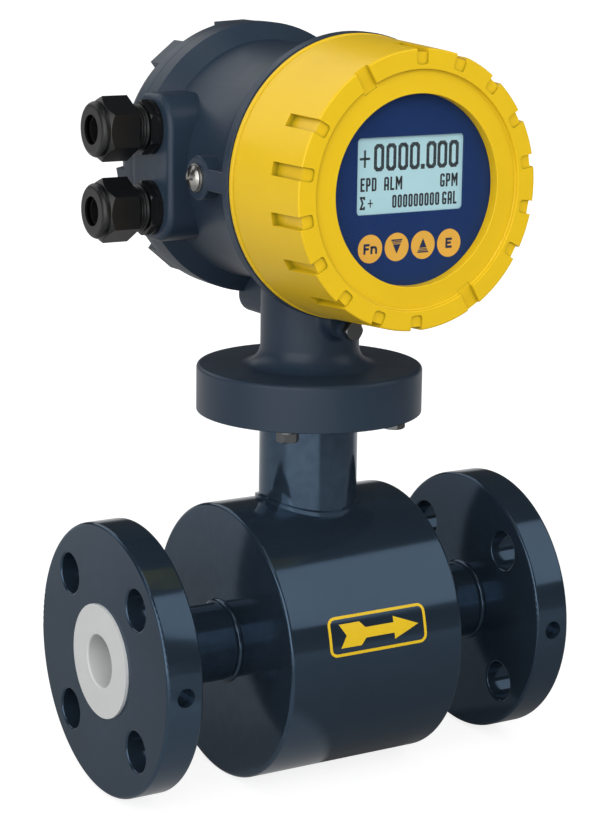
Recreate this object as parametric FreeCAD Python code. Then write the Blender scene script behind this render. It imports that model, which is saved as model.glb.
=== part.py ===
import FreeCAD, Part
import math
import os

# Electromagnetic flow meter: a flanged, lined flow tube with its coil housing, a neck, and a
# round transmitter head with a glazed front cover, a blind rear cover and two cable glands.
# Millimetres. The tube axis is X (the liquid flows towards +X), the display looks along -Y, +Z is up.
# The origin is the middle of the flow tube, on its axis.

# ---------------------------------------------------------------- driving dimensions

# flow tube and liner
face_to_face = 187.0        # between the two liner faces that seal on the pipeline
bore_r = 10.3               # clear bore of the liner
liner_wall = 3.0
liner_flare_r = 22.45       # sealing face of the liner
liner_flare_t = 1.2         # how far the liner stands proud of the flange
liner_edge = 0.7            # rounding at the mouth of the bore
tube_wall = 2.2

# pipeline flanges (1 inch, class 150)
flange_r = 54.0
flange_t = 15.3
flange_edge = 1.3
bolt_circle_r = 39.7
bolt_hole_r = 7.95
bolt_hole_edge = 0.9
bolt_holes = 4
rim_hole_r = 3.7            # ground hole in the rim of each flange
rim_hole_depth = 5.0

# coil housing round the tube, and what it holds
coil_case_r = 55.15
coil_case_length = 79.0
coil_case_wall = 3.0
coil_case_edge = 1.5
weld_leg = 1.5
coil_length = 46.0          # saddle coil, along the tube
coil_width = 40.0
coil_band = 9.0             # width of the winding round its window
coil_height = 7.0           # build-up of the winding, away from the tube
coil_gap = 0.3
coil_lift = 5.6             # lower edge of a coil above the middle of the tube, clear of the electrodes
core_length = 24.0
core_width = 16.0
yoke_r = 44.0
yoke_t = 3.0
yoke_length = 40.0
electrode_r = 2.0
electrode_head_r = 3.4
electrode_head_t = 1.4
electrode_recess = 0.2      # electrode face behind the bore
sleeve_wall = 1.8
sleeve_length = 5.0
electrode_nut_t = 3.0
electrode_nut_af = 7.0
electrode_tail = 2.5

# neck and its bolted plate
neck_r = 19.6
neck_wall = 3.0
neck_plate_t = 6.0
neck_gasket_t = 1.0
neck_bolt_r = 2.5
neck_bolt_af = 8.0
neck_bolt_head = 3.5
neck_bolt_grip = 8.0        # thread in the head casting
neck_bolts = 4
bolt_clearance = 0.25
washer_t = 1.0
washer_r = 5.0
washer_gap = 0.1
spring_washer_r = 4.4

# head casting: base disc, upper neck, barrel
base_r = 44.85
neck_bolt_inset = 10.25     # bolt axes inside the rim of the base disc
base_z = 90.4               # underside of the base disc
base_t = 18.6
base_edge = 1.6
base_skirt = 3.2            # wall of the skirt round the neck plate
plate_gap = 0.3
upper_neck = 14.0585        # clear neck between the base disc and the lock lug
upper_neck_fillet = 8.0
casting_fillet = 3.0        # where the neck runs into the barrel and the lock lug
pick_margin = 0.1
pick_rise = 2.4              # height over the barrel's lowest point that the soft edges reach
past = 3.0                   # how far a cutting tool runs past what it cuts
barrel_bore_r = 43.5
waist_wall = 3.4            # narrowest part of the barrel
waist_rear_wall = 4.4
waist_front_wall = 5.7
rear_flange = 11.0          # height of the rear flange above the bore
rear_flange_y = 48.0        # rear face of the casting
rear_flange_t = 7.75
rear_cone = 6.0             # length of the cone in front of the rear flange
front_flange = 11.4
front_flange_y = -29.7      # front face of the casting
front_flange_t = 4.2
front_flare = 12.0          # length of the flare behind the front flange
flare_share = 0.28          # how far the flare has risen halfway along
spigot_wall = 5.0           # male threads that carry the covers
front_spigot = 14.0
rear_spigot = 8.0
partition_y = 3.0           # front face of the wall between the two chambers
partition_t = 4.0

# covers
cover_gap = 0.3             # cover to casting at the seam
thread_gap = 0.08           # radial clearance of the covers and nuts that screw on
front_cover_y = -75.0       # front of the raised ring
cover_wall = 5.42           # at the rear of the grip
cover_taper = 2.3           # the grip is this much smaller at the front
cover_lip = 0.4             # height of the lip above the grip
cover_lip_t = 1.6
cover_groove = 1.4
cover_groove_depth = 0.8
cover_step = 1.0            # the inside narrows by this much in front of the thread
cover_edge = 0.7
ring_width = 7.4            # raised ring on the front
ring_height = 1.5
face_width = 8.9            # sunken face between the ring and the window
face_dish = 0.5             # the face falls this much from the window to the ring
window_wall = 4.3           # thickness of the cover's front wall at the window
glass_gap = 0.1
glass_t = 2.1
glass_inset = 2.3           # glass behind the edge of the window
grip_pitch = 20.0           # degrees between grip slots
grip_first = 10.0
grip_width = 5.0
grip_depth = 3.7
grip_length = 18.0
grip_face = 5.8             # length of the slot across the ring
grip_face_depth = 0.8
grip_corner = 1.3
notch_angle = 120.0         # the two wrench notches, opposite each other
notch_width = 6.0
notch_depth = 1.7
notch_run = 2.0              # how far a notch runs inside the ring
rear_cover_side = 5.72      # wall of the rim
rear_cover_band = 5.7       # straight part of the rim
rear_cover_depth = 13.3
rear_cover_taper = 3.0
rear_cover_wall = 3.6
rear_recess_inset = 13.3
rear_recess = 1.0
lug_width = 13.6
lug_angles = (11.0, 50.0, 93.0, 128.2)      # and the same again half a turn on
seal_section_r = 0.85
seal_gap = 0.1
seal_slack = 0.05            # floor of a seal groove behind its seal
front_seal_inset = 2.2      # middle of the front seal in front of the casting
rear_seal_inset = 2.2       # middle of the rear seal behind the seam

# cable entries on the -X side
pad_proud = 0.2             # face of the entry pad beyond the rear flange
pad_rear_inset = 1.2        # rear edge of the pad in front of the rear face
pad_width = 31.0
pad_half_height = 28.8
pad_corner = 12.5
pad_edge = 2.5
entry_inset = 15.0          # gland axes behind the front edge of the pad
entry_spacing = 31.4        # between the two glands
entry_thread_r = 8.0
entry_thread = 9.5          # length of the thread in the wall
gland_gasket_t = 0.8
gland_hex_af = 18.6
gland_hex_t = 3.9
gland_hex_corner = 0.6
gland_flange_t = 1.3        # round flange against the pad
gland_flange_inset = 0.2
gland_thread_r = 8.6
gland_thread = 12.5
gland_bore_r = 5.4
gland_wall = 1.6
nut_af = 22.0
nut_start = 5.7             # free thread between the hexagon and the nut
nut_hex_t = 12.3
nut_dome = 3.1
nut_dome_round = 2.2
nut_mouth_r = 5.8
nut_shoulder = 3.4          # from the nut's mouth back to the thread
seal_clearance = 0.15
cable_r = 4.6               # bore of the rubber seal
seal_seat = 8.5             # how deep the seal sits in the body

# ground terminal
boss_y = -5.9
boss_r = 8.5
boss_edge = 0.9
boss_sink = 0.3             # face of the boss below the front flange
rib_width = 8.2
rib_sink = 8.0
ground_screw_r = 2.5
screw_gap = 0.05            # radial clearance of a screw in its hole
screw_tip = 1.0             # hole beyond the end of a screw
ground_head_r = 4.9
ground_head_t = 2.8
ground_screw_length = 7.0
ground_washer_r = 5.5
ground_washer_t = 0.8
cross_width = 1.1
cross_length = 5.4
cross_depth = 1.4

# cover locks under the head
lug_half = 7.3
lug_rise = 3.0              # centre of the round underside above the screws
lug_front_inset = 2.7       # ends of the lug inside the faces of the casting
lug_rear_inset = 4.2
lock_clearance = 0.4        # corners of the screw heads below the covers
lock_boss_r = 4.7
lock_boss_t = 2.4
lock_screw_r = 2.0
lock_screw_af = 7.0
lock_screw_head = 2.8
lock_screw_length = 9.0
lock_washer_r = 3.2
lock_washer_t = 0.9

# display and electronics
display_gap = 0.4           # behind the glass
panel_inset = 2.5           # inside the cover
panel_t = 1.2
lcd_width = 46.9
lcd_height = 28.1
lcd_rise = 5.65             # centre of the screen above the head's axis
lcd_corner = 1.6
lcd_margin = 2.5            # hidden border of the screen
lcd_t = 2.0
key_r = 5.3
key_pitch = 11.6
key_drop = 20.8
key_gap = 0.05
keys = 4
carrier_inset = 1.0         # inside the panel
carrier_depth = 15.0
carrier_wall = 2.4
board_t = 1.6
board_clearance = 1.1       # display board inside its carrier
main_board_inset = 3.5      # inside the barrel
main_board_y = -14.0
pillar_af = 6.0
pillar_inset = 6.0          # pillars inside the edge of the main board
pillars = 4
terminal_width = 50.0
terminal_depth = 14.0
terminal_height = 16.0
terminal_step = 6.0
terminals = 8
terminal_screw_r = 1.9
terminal_screw_t = 1.2

# ---------------------------------------------------------------- derived places

liner_r = bore_r + liner_wall
tube_r = liner_r + tube_wall
liner_face_x = face_to_face / 2
flange_face_x = liner_face_x - liner_flare_t
flange_back_x = flange_face_x - flange_t
case_end_x = coil_case_length / 2
case_inner_r = coil_case_r - coil_case_wall
plate_top_z = base_z + neck_plate_t
base_floor_z = plate_top_z + neck_gasket_t
base_top_z = base_z + base_t
neck_bore_r = neck_r - neck_wall
neck_bolt_circle_r = base_r - neck_bolt_inset
spigot_r = barrel_bore_r + spigot_wall
waist_r = barrel_bore_r + waist_wall
waist_rear_r = barrel_bore_r + waist_rear_wall
waist_front_r = barrel_bore_r + waist_front_wall
rear_flange_r = barrel_bore_r + rear_flange
front_flange_r = barrel_bore_r + front_flange
cover_bore_r = spigot_r + thread_gap
cover_rear_r = cover_bore_r + cover_wall
cover_front_r = cover_rear_r - cover_taper
cover_lip_r = cover_rear_r + cover_lip
cover_inner_r = cover_bore_r - cover_step
ring_inner_r = cover_front_r - ring_width
window_r = ring_inner_r - face_width
glass_r = window_r - glass_gap
grip_floor_r = cover_rear_r - grip_depth
grip_face_r = cover_front_r - grip_face
rear_cover_r = cover_bore_r + rear_cover_side
rear_cover_back_r = rear_cover_r - rear_cover_taper
rear_recess_r = rear_cover_back_r - rear_recess_inset
panel_r = cover_inner_r - panel_inset
carrier_r = panel_r - carrier_inset
display_board_r = carrier_r - carrier_wall - board_clearance
main_board_r = barrel_bore_r - main_board_inset
pillar_circle_r = main_board_r - pillar_inset
pad_x = -(rear_flange_r + pad_proud)
pad_rear_y = rear_flange_y - pad_rear_inset
pad_front_y = pad_rear_y - pad_width
entry_y = pad_front_y + entry_inset
boss_x = -(front_flange_r - boss_sink)
lug_z = base_top_z + upper_neck + lug_half
lock_z = lug_z - lug_rise
head_z = lock_z + lock_screw_af / math.sqrt(3) + lock_clearance + cover_lip_r
lug_front_y = front_flange_y + lug_front_inset
lug_rear_y = rear_flange_y - lug_rear_inset
front_spigot_y = front_flange_y - front_spigot
rear_spigot_y = rear_flange_y + rear_spigot
front_seam_y = front_flange_y - cover_gap
rear_seam_y = rear_flange_y + cover_gap
rear_back_y = rear_seam_y + rear_cover_depth
face_y = front_cover_y + ring_height
window_y = face_y - face_dish
inner_face_y = window_y + window_wall
glass_y = window_y + glass_inset
panel_y = inner_face_y + display_gap
carrier_y = panel_y + panel_t
display_board_y = carrier_y + lcd_t
board_front_y = main_board_y - board_t
hex_x = pad_x - gland_gasket_t
thread_x = hex_x - gland_hex_t
nut_x = thread_x - nut_start
nut_front_x = nut_x - nut_hex_t
mouth_x = nut_front_x - nut_dome
gland_end_x = thread_x - gland_thread
seal_r = gland_thread_r - gland_wall
gland_flange_r = gland_hex_af / math.sqrt(3) - gland_flange_inset

ORIGIN = FreeCAD.Vector(0, 0, 0)
HEAD = FreeCAD.Vector(0, 0, head_z)
ALONG = {"X": FreeCAD.Vector(1, 0, 0), "Y": FreeCAD.Vector(0, 1, 0), "Z": FreeCAD.Vector(0, 0, 1)}
ACROSS = {"X": ("Y", "Z"), "Y": ("X", "Z"), "Z": ("X", "Y")}


# ---------------------------------------------------------------- shape helpers

def outline(points, place):
    """Closed wire. A point is (u, v), (u, v, corner radius) or (u, v, 0, (u, v) that its arc passes)."""
    corners = []
    for index, point in enumerate(points):
        here = FreeCAD.Vector(point[0], point[1], 0)
        via = FreeCAD.Vector(point[3][0], point[3][1], 0) if len(point) > 3 else None
        if len(point) < 3 or point[2] == 0:
            corners.append((here, here, None, via))
            continue
        before = FreeCAD.Vector(points[index - 1][0], points[index - 1][1], 0) - here
        following = points[(index + 1) % len(points)]
        after = FreeCAD.Vector(following[0], following[1], 0) - here
        before.normalize()
        after.normalize()
        half = before.getAngle(after) / 2
        reach = point[2] / math.tan(half)
        inward = before + after
        inward.normalize()
        middle = here + inward * (point[2] / math.sin(half) - point[2])
        corners.append((here + before * reach, here + after * reach, middle, via))
    edges = []
    for index, (start, end, middle, via) in enumerate(corners):
        last = corners[index - 1][1]
        if via is not None:
            edges.append(Part.Arc(place(last), place(via), place(start)).toShape())
        elif last.distanceToPoint(start) > 1e-6:
            edges.append(Part.makeLine(place(last), place(start)))
        if middle is not None:
            edges.append(Part.Arc(place(start), place(middle), place(end)).toShape())
    return Part.Wire(edges)


def turned(points, axis, at):
    """Turned solid: the points are (place along the axis, radius) and the axis goes through at."""
    along = ALONG[axis]
    out = ALONG["X"] if axis == "Z" else ALONG["Z"]
    centre = at - along * at.dot(along)
    face = Part.Face(outline(points, lambda p: centre + along * p.x + out * p.y))
    return face.revolve(centre, along, 360)


def extruded(points, axis, start, end, at=ORIGIN):
    """Straight solid between two places on the axis; the points lie across it, measured from at."""
    along = ALONG[axis]
    u_way, v_way = (ALONG[name] for name in ACROSS[axis])
    base = at - along * at.dot(along) + along * start
    face = Part.Face(outline(points, lambda p: base + u_way * p.x + v_way * p.y))
    return face.extrude(along * (end - start))


def rod(radius, axis, start, end, at=ORIGIN):
    """Cylinder between two places on the axis that goes through at."""
    along = ALONG[axis]
    low = min(start, end)
    base = at - along * at.dot(along) + along * low
    return Part.makeCylinder(radius, abs(end - start), base, along)


def ring(outer, inner, axis, start, end, at=ORIGIN):
    """Plain ring or tube."""
    return rod(outer, axis, start, end, at).cut(rod(inner, axis, start, end, at))


def rectangle(half_u, half_v, corner=0.0, u=0.0, v=0.0):
    """Corner points of a rectangle, rounded if asked."""
    signs = ((-1, -1), (1, -1), (1, 1), (-1, 1))
    return [(u + half_u * a, v + half_v * b, corner) for a, b in signs]


def hexagon(across_flats, first=0.0):
    """Corner points of a hexagon, the first one at that angle."""
    radius = across_flats / math.sqrt(3)
    angles = [math.radians(first + 60 * step) for step in range(6)]
    return [(radius * math.cos(a), radius * math.sin(a)) for a in angles]


def turned_copy(shape, angle, axis, at=ORIGIN):
    """The same shape, turned about an axis through at."""
    copy = shape.copy()
    copy.rotate(at, ALONG[axis], angle)
    return copy


def around(shape, count, axis, at=ORIGIN, first=0.0):
    """Copies of a shape, evenly spaced round an axis."""
    return [turned_copy(shape, first + step * 360.0 / count, axis, at) for step in range(count)]


def joined(shapes):
    """One solid out of overlapping ones."""
    return shapes[0].fuse(shapes[1:]).removeSplitter()


def rounded(shape, radius, low, high):
    """The shape with a fillet on the edges that lie inside a box."""
    space = FreeCAD.BoundBox(low, high)
    return shape.makeFillet(radius, [edge for edge in shape.Edges if space.isInside(edge.BoundBox)])


def group(shapes):
    """Separate solids that share one file."""
    return Part.makeCompound([solid for shape in shapes for solid in shape.Solids])


def mirrored(shape, way):
    """The shape on the other side of the plane through the origin across that axis."""
    return shape.mirror(ORIGIN, ALONG[way])


# ---------------------------------------------------------------- flow tube

def tube_liner():
    points = [
        (-liner_face_x, bore_r, liner_edge), (liner_face_x, bore_r, liner_edge),
        (liner_face_x, liner_flare_r), (flange_face_x, liner_flare_r),
        (flange_face_x, liner_r), (-flange_face_x, liner_r),
        (-flange_face_x, liner_flare_r), (-liner_face_x, liner_flare_r),
    ]
    liner = turned(points, "X", ORIGIN)
    head_end = bore_r + electrode_recess + electrode_head_t
    for side in (-1, 1):
        liner = liner.cut(rod(electrode_head_r, "Y", 0, side * head_end))
        liner = liner.cut(rod(electrode_r, "Y", 0, side * (liner_r + 1)))
    return liner


def measuring_tube():
    tube = ring(tube_r, liner_r, "X", -flange_face_x, flange_face_x)
    sleeve_r = electrode_r + sleeve_wall
    return tube.cut(rod(sleeve_r, "Y", -tube_r - 1, tube_r + 1))


def electrodes():
    start = bore_r + electrode_recess
    tail = liner_r + sleeve_length + electrode_nut_t + electrode_tail
    head = rod(electrode_head_r, "Y", start, start + electrode_head_t)
    pin = joined([head, rod(electrode_r, "Y", start, tail)])
    return group([pin, mirrored(pin, "Y")])


def electrode_sleeves():
    blank = ring(electrode_r + sleeve_wall, electrode_r, "Y", liner_r - 2, liner_r + sleeve_length)
    sleeve = blank.cut(rod(liner_r, "X", -flange_r, flange_r))
    return group([sleeve, mirrored(sleeve, "Y")])


def electrode_nuts():
    start = liner_r + sleeve_length
    nut = extruded(hexagon(electrode_nut_af), "Y", start, start + electrode_nut_t)
    nut = nut.cut(rod(electrode_r, "Y", start, start + electrode_nut_t))
    return group([nut, mirrored(nut, "Y")])


def flange(side):
    """Pipeline flange with rounded bolt holes and a ground hole in its rim."""
    face = side * flange_face_x
    back = side * flange_back_x
    points = [
        (back, tube_r), (back, flange_r, flange_edge),
        (face, flange_r, flange_edge), (face, tube_r),
    ]
    plate = turned(points, "X", ORIGIN)
    for hole in around(bolt_hole(side), bolt_holes, "X", ORIGIN, 180.0 / bolt_holes):
        plate = plate.cut(hole)
    middle = FreeCAD.Vector((face + back) / 2, 0, 0)
    return plate.cut(rod(rim_hole_r, "Y", -flange_r - 1, rim_hole_depth - flange_r, middle))


def bolt_hole(side):
    """Tool for one bolt hole: a rod that flares out at both faces."""
    face = side * flange_face_x
    back = side * flange_back_x
    mouth_r = bolt_hole_r + bolt_hole_edge
    step = side * bolt_hole_edge
    bulge = bolt_hole_edge * (1 - math.sqrt(0.5))
    points = [
        (back, 0), (back, mouth_r),
        (back + step, bolt_hole_r, 0, (back + side * bulge, bolt_hole_r + bulge)),
        (face - step, bolt_hole_r),
        (face, mouth_r, 0, (face - side * bulge, bolt_hole_r + bulge)),
        (face, 0),
    ]
    return turned(points, "X", FreeCAD.Vector(0, 0, bolt_circle_r))


def tube_welds():
    """Weld beads: the tube to each flange and to each end of the coil housing."""
    beads = []
    for side in (-1, 1):
        for root, way in ((flange_back_x, -1), (case_end_x, 1)):
            start = side * root
            end = start + side * way * weld_leg
            bulge = weld_leg * math.sqrt(0.5)
            points = [
                (start, tube_r), (end, tube_r),
                (start, tube_r + weld_leg, 0, (start + side * way * bulge, tube_r + bulge)),
            ]
            beads.append(turned(points, "X", ORIGIN))
    return group(beads)


# ---------------------------------------------------------------- coil housing

def coil_housing():
    """Round welded case, closed at both ends, with the opening for the neck."""
    inner_x = case_end_x - coil_case_wall
    points = [
        (-case_end_x, tube_r), (-case_end_x, coil_case_r, coil_case_edge),
        (case_end_x, coil_case_r, coil_case_edge), (case_end_x, tube_r),
        (inner_x, tube_r), (inner_x, case_inner_r),
        (-inner_x, case_inner_r), (-inner_x, tube_r),
    ]
    case = turned(points, "X", ORIGIN)
    return case.cut(rod(neck_r, "Z", 0, coil_case_r + 1))


def saddle_coils():
    """Two windings bent over the tube, one above it and one below."""
    inner = tube_r + coil_gap
    shell = ring(inner + coil_height, inner, "X", -coil_length, coil_length)
    corner = coil_band
    top = inner + coil_height
    outside = extruded(rectangle(coil_length / 2, coil_width / 2, corner), "Z", coil_lift, top)
    window = rectangle(coil_length / 2 - coil_band, coil_width / 2 - coil_band, corner / 3)
    inside = extruded(window, "Z", coil_lift, top)
    coil = shell.common(outside.cut(inside))
    return group([coil, mirrored(coil, "Z")])


def pole_cores():
    """Iron cores through the coils, from the tube to the yoke."""
    inner = tube_r + coil_gap
    block = extruded(rectangle(core_length / 2, core_width / 2, 1.0), "Z", 0, yoke_r)
    core = block.common(ring(yoke_r - yoke_t, inner, "X", -core_length, core_length))
    return group([core, mirrored(core, "Z")])


def magnet_yoke():
    return ring(yoke_r, yoke_r - yoke_t, "X", -yoke_length / 2, yoke_length / 2)


# ---------------------------------------------------------------- neck

def neck_tube():
    tube = ring(neck_r, neck_bore_r, "Z", 0, plate_top_z)
    return tube.cut(rod(case_inner_r, "X", -coil_case_r, coil_case_r))


def neck_weld():
    """Bead that follows the saddle line where the neck meets the coil housing."""
    sleeve = ring(neck_r + weld_leg, neck_r, "Z", 0, coil_case_r + weld_leg)
    skin = ring(coil_case_r + weld_leg, coil_case_r, "X", -coil_case_r, coil_case_r)
    return sleeve.common(skin)


def neck_plate():
    """Plate on top of the neck that the head is bolted to."""
    outer = base_r - base_skirt - plate_gap
    plate = ring(outer, neck_r, "Z", base_z, plate_top_z)
    hole = rod(neck_bolt_r + bolt_clearance, "Z", base_z, plate_top_z, bolt_spot())
    for cutter in around(hole, neck_bolts, "Z", ORIGIN, 180.0 / neck_bolts):
        plate = plate.cut(cutter)
    return plate


def neck_gasket():
    outer = base_r - base_skirt - plate_gap
    gasket = ring(outer, neck_bore_r, "Z", plate_top_z, base_floor_z)
    hole = rod(neck_bolt_r + bolt_clearance, "Z", plate_top_z, base_floor_z, bolt_spot())
    for cutter in around(hole, neck_bolts, "Z", ORIGIN, 180.0 / neck_bolts):
        gasket = gasket.cut(cutter)
    return gasket


def bolt_spot():
    """Axis of one neck bolt, before it is turned into place."""
    return FreeCAD.Vector(neck_bolt_circle_r, 0, 0)


def neck_bolt_set():
    """Hexagon bolts that come up from below."""
    head_top = base_z - 2 * washer_t
    head = extruded(hexagon(neck_bolt_af), "Z", head_top - neck_bolt_head, head_top, bolt_spot())
    corner_r = neck_bolt_af / math.sqrt(3)
    dome = [
        (head_top - neck_bolt_head, 0), (head_top - neck_bolt_head, neck_bolt_af / 2),
        (head_top - neck_bolt_head + (corner_r - neck_bolt_af / 2), corner_r + 0.1),
        (head_top, corner_r + 0.1), (head_top, 0),
    ]
    head = head.common(turned(dome, "Z", bolt_spot()))
    shank = rod(neck_bolt_r, "Z", head_top, base_floor_z + neck_bolt_grip, bolt_spot())
    return group(around(joined([head, shank]), neck_bolts, "Z", ORIGIN, 180.0 / neck_bolts))


def neck_washers():
    """A flat and a spring washer under each bolt head."""
    flat = ring(washer_r, neck_bolt_r, "Z", base_z - washer_t, base_z, bolt_spot())
    low = base_z - 2 * washer_t
    spring = ring(spring_washer_r, neck_bolt_r, "Z", low, low + washer_t, bolt_spot())
    first = 180.0 / neck_bolts
    flats = around(flat, neck_bolts, "Z", ORIGIN, first)
    return group(flats + around(spring, neck_bolts, "Z", ORIGIN, first))


# ---------------------------------------------------------------- head casting

def barrel_outside():
    """Spool-shaped barrel: flanges at both ends, a waist between them, a threaded spigot at each end."""
    cone_y = rear_flange_y - rear_flange_t
    waist_y = cone_y - rear_cone
    flange_y = front_flange_y + front_flange_t
    flare_y = flange_y + front_flare
    middle_y = (waist_y + flare_y) / 2
    flare_r = waist_front_r + flare_share * (front_flange_r - waist_front_r)
    points = [
        (rear_spigot_y, 0), (rear_spigot_y, spigot_r, 0.5), (rear_flange_y, spigot_r),
        (rear_flange_y, rear_flange_r, 0.3), (cone_y, rear_flange_r, 0.6),
        (waist_y, waist_rear_r),
        (flare_y, waist_front_r, 0, (middle_y, waist_r)),
        (flange_y, front_flange_r - 0.4, 0, ((flare_y + flange_y) / 2, flare_r)),
        (flange_y, front_flange_r), (front_flange_y, front_flange_r, 0.3),
        (front_flange_y, spigot_r), (front_spigot_y, spigot_r, 0.5), (front_spigot_y, 0),
    ]
    return turned(points, "Y", HEAD)


def base_outside():
    """Base disc and upper neck."""
    points = [
        (base_z, 0), (base_z, base_r, 0.4), (base_top_z, base_r, base_edge),
        (base_top_z, neck_r, upper_neck_fillet), (head_z, neck_r), (head_z, 0),
    ]
    return turned(points, "Z", ORIGIN)


def entry_pad():
    """Upright pad on the side of the barrel that the two glands screw into."""
    middle = (pad_front_y + pad_rear_y) / 2
    half = (pad_rear_y - pad_front_y) / 2
    points = rectangle(half, pad_half_height, pad_corner, middle)
    pad = extruded(points, "X", pad_x, -barrel_bore_r * 0.6, HEAD)
    return rounded(pad, pad_edge, *face_space(pad_x))


def face_space(x):
    """Box round the face of the casting that lies across the X axis at that place."""
    reach = barrel_bore_r
    low = FreeCAD.Vector(x - pick_margin, -reach, head_z - reach)
    return low, FreeCAD.Vector(x + pick_margin, rear_flange_y, head_z + reach)


def ground_boss():
    """Round boss for the ground screw, tied to the front flange by a rib."""
    spot = FreeCAD.Vector(0, boss_y, head_z)
    boss = rod(boss_r, "X", boss_x, boss_x + rib_sink + 4, spot)
    flange_y = front_flange_y + front_flange_t / 2
    rib_points = rectangle((boss_y - flange_y) / 2, rib_width / 2, 0.0, (boss_y + flange_y) / 2)
    boss = joined([boss, extruded(rib_points, "X", boss_x, boss_x + rib_sink, HEAD)])
    return rounded(boss, boss_edge, *face_space(boss_x))


def lock_lug():
    """Lug under the barrel, front to rear, that carries the two cover lock screws."""
    top = head_z - barrel_bore_r - lug_z
    points = [
        (-lug_half, top), (-lug_half, 0),
        (lug_half, 0, 0, (0, -lug_half)), (lug_half, top),
    ]
    centre = FreeCAD.Vector(0, 0, lug_z)
    lug = extruded(points, "Y", lug_front_y, lug_rear_y, centre)
    axis = FreeCAD.Vector(0, 0, lock_z)
    boss = rod(lock_boss_r, "Y", lug_front_y - lock_boss_t, lug_front_y, axis)
    return joined([lug, boss])


def transmitter_housing():
    """One casting: base disc, upper neck, barrel, entry pad, ground boss and lock lug."""
    body = joined([barrel_outside(), base_outside(), entry_pad(), ground_boss(), lock_lug()])
    reach = neck_r + pick_margin
    low = FreeCAD.Vector(-reach, -reach, base_top_z + upper_neck_fillet + pick_margin)
    high = FreeCAD.Vector(reach, reach, head_z - barrel_bore_r + pick_rise)
    body = rounded(body, casting_fillet, low, high)
    body = body.cut(rod(barrel_bore_r, "Y", front_spigot_y, partition_y, HEAD))
    body = body.cut(rod(barrel_bore_r, "Y", partition_y + partition_t, rear_spigot_y, HEAD))
    body = body.cut(rod(neck_bore_r, "Z", base_z, head_z - barrel_bore_r + past))
    body = body.cut(rod(base_r - base_skirt, "Z", base_z, base_floor_z))
    bolt = rod(neck_bolt_r, "Z", base_floor_z, base_floor_z + neck_bolt_grip, bolt_spot())
    cutters = around(bolt, neck_bolts, "Z", ORIGIN, 180.0 / neck_bolts)
    for rise in (-entry_spacing / 2, entry_spacing / 2):
        spot = FreeCAD.Vector(0, entry_y, head_z + rise)
        cutters.append(rod(entry_thread_r, "X", pad_x, -barrel_bore_r * 0.7, spot))
    screw = FreeCAD.Vector(0, boss_y, head_z)
    cutters.append(rod(ground_screw_r, "X", boss_x, boss_x + ground_screw_length + screw_tip, screw))
    lock = FreeCAD.Vector(0, 0, lock_z)
    front = lug_front_y - lock_boss_t
    cutters.append(rod(lock_screw_r, "Y", front, front + lock_screw_length + screw_tip, lock))
    cutters.append(rod(lock_screw_r, "Y", lug_rear_y - lock_screw_length - screw_tip, lug_rear_y, lock))
    seal_y = front_seam_y - front_seal_inset
    cutters.append(seal_groove(seal_y, spigot_r - seal_depth(), spigot_r + past))
    for cutter in cutters:
        body = body.cut(cutter)
    return body


# ---------------------------------------------------------------- seals

def seal_depth():
    """Depth of a seal groove from the sliding face."""
    return 2 * seal_section_r + seal_gap + seal_slack - thread_gap


def seal_groove(middle_y, inner, outer):
    """Square groove round the head's axis."""
    half = seal_section_r + seal_gap
    return ring(outer, inner, "Y", middle_y - half, middle_y + half, HEAD)


def front_seal():
    """Round-section seal in the groove of the front spigot."""
    seal_y = front_seam_y - front_seal_inset
    middle_r = spigot_r - seal_depth() + seal_slack + seal_section_r
    at = FreeCAD.Vector(0, seal_y, head_z)
    return Part.makeTorus(middle_r, seal_section_r, at, ALONG["Y"])


def rear_seal():
    """Round-section seal that the rear cover carries in its bore."""
    seal_y = rear_seam_y + rear_seal_inset
    middle_r = spigot_r + seal_gap + seal_section_r
    at = FreeCAD.Vector(0, seal_y, head_z)
    return Part.makeTorus(middle_r, seal_section_r, at, ALONG["Y"])


# ---------------------------------------------------------------- covers

def grip_slot():
    """Tool for one grip slot, at three o'clock: a pocket down the side that turns over onto the ring."""
    beyond = cover_lip_r + past
    half = grip_width / 2
    side = extruded(
        [(grip_floor_r, -half), (beyond, -half), (beyond, half), (grip_floor_r, half)],
        "Y", front_cover_y - past, front_cover_y + grip_length, HEAD)
    face = extruded(
        [(grip_face_r, -half, grip_corner), (beyond, -half), (beyond, half),
         (grip_face_r, half, grip_corner)],
        "Y", front_cover_y - past, front_cover_y + grip_face_depth, HEAD)
    return joined([side, face])


def wrench_notch():
    """Tool for one wrench notch across the ring, at three o'clock."""
    half = notch_width / 2
    inner = ring_inner_r - notch_run
    beyond = cover_lip_r + past
    points = [(inner, -half), (beyond, -half), (beyond, half), (inner, half)]
    return extruded(points, "Y", front_cover_y - past, front_cover_y + notch_depth, HEAD)


def front_cover():
    """Screwed cover with a window, a raised ring, grip slots and two wrench notches."""
    lip_y = front_seam_y - cover_lip_t
    groove_y = lip_y - cover_groove
    floor_r = cover_lip_r - cover_groove_depth
    points = [
        (front_seam_y, cover_bore_r), (front_seam_y, cover_lip_r, 0.3), (lip_y, cover_lip_r, 0.3),
        (lip_y - 0.4, floor_r), (groove_y, floor_r), (groove_y - 0.4, cover_rear_r),
        (front_cover_y, cover_front_r, cover_edge), (front_cover_y, ring_inner_r, 0.3),
        (face_y, ring_inner_r - 0.3, 0.6), (window_y, window_r, 0.3),
        (inner_face_y, window_r), (inner_face_y, cover_inner_r, 1.5),
        (front_spigot_y - 1.5, cover_inner_r), (front_spigot_y - 1.5, cover_bore_r),
    ]
    cover = turned(points, "Y", HEAD)
    count = round(360 / grip_pitch)
    clear = grip_pitch * 0.75
    for step in range(count):
        angle = grip_first + step * grip_pitch
        away = (angle - notch_angle + 90) % 180 - 90
        if abs(away) > clear:
            cover = cover.cut(turned_copy(grip_slot(), -angle, "Y", HEAD))
    for angle in (notch_angle, notch_angle + 180):
        cover = cover.cut(turned_copy(wrench_notch(), -angle, "Y", HEAD))
    return cover


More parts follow.
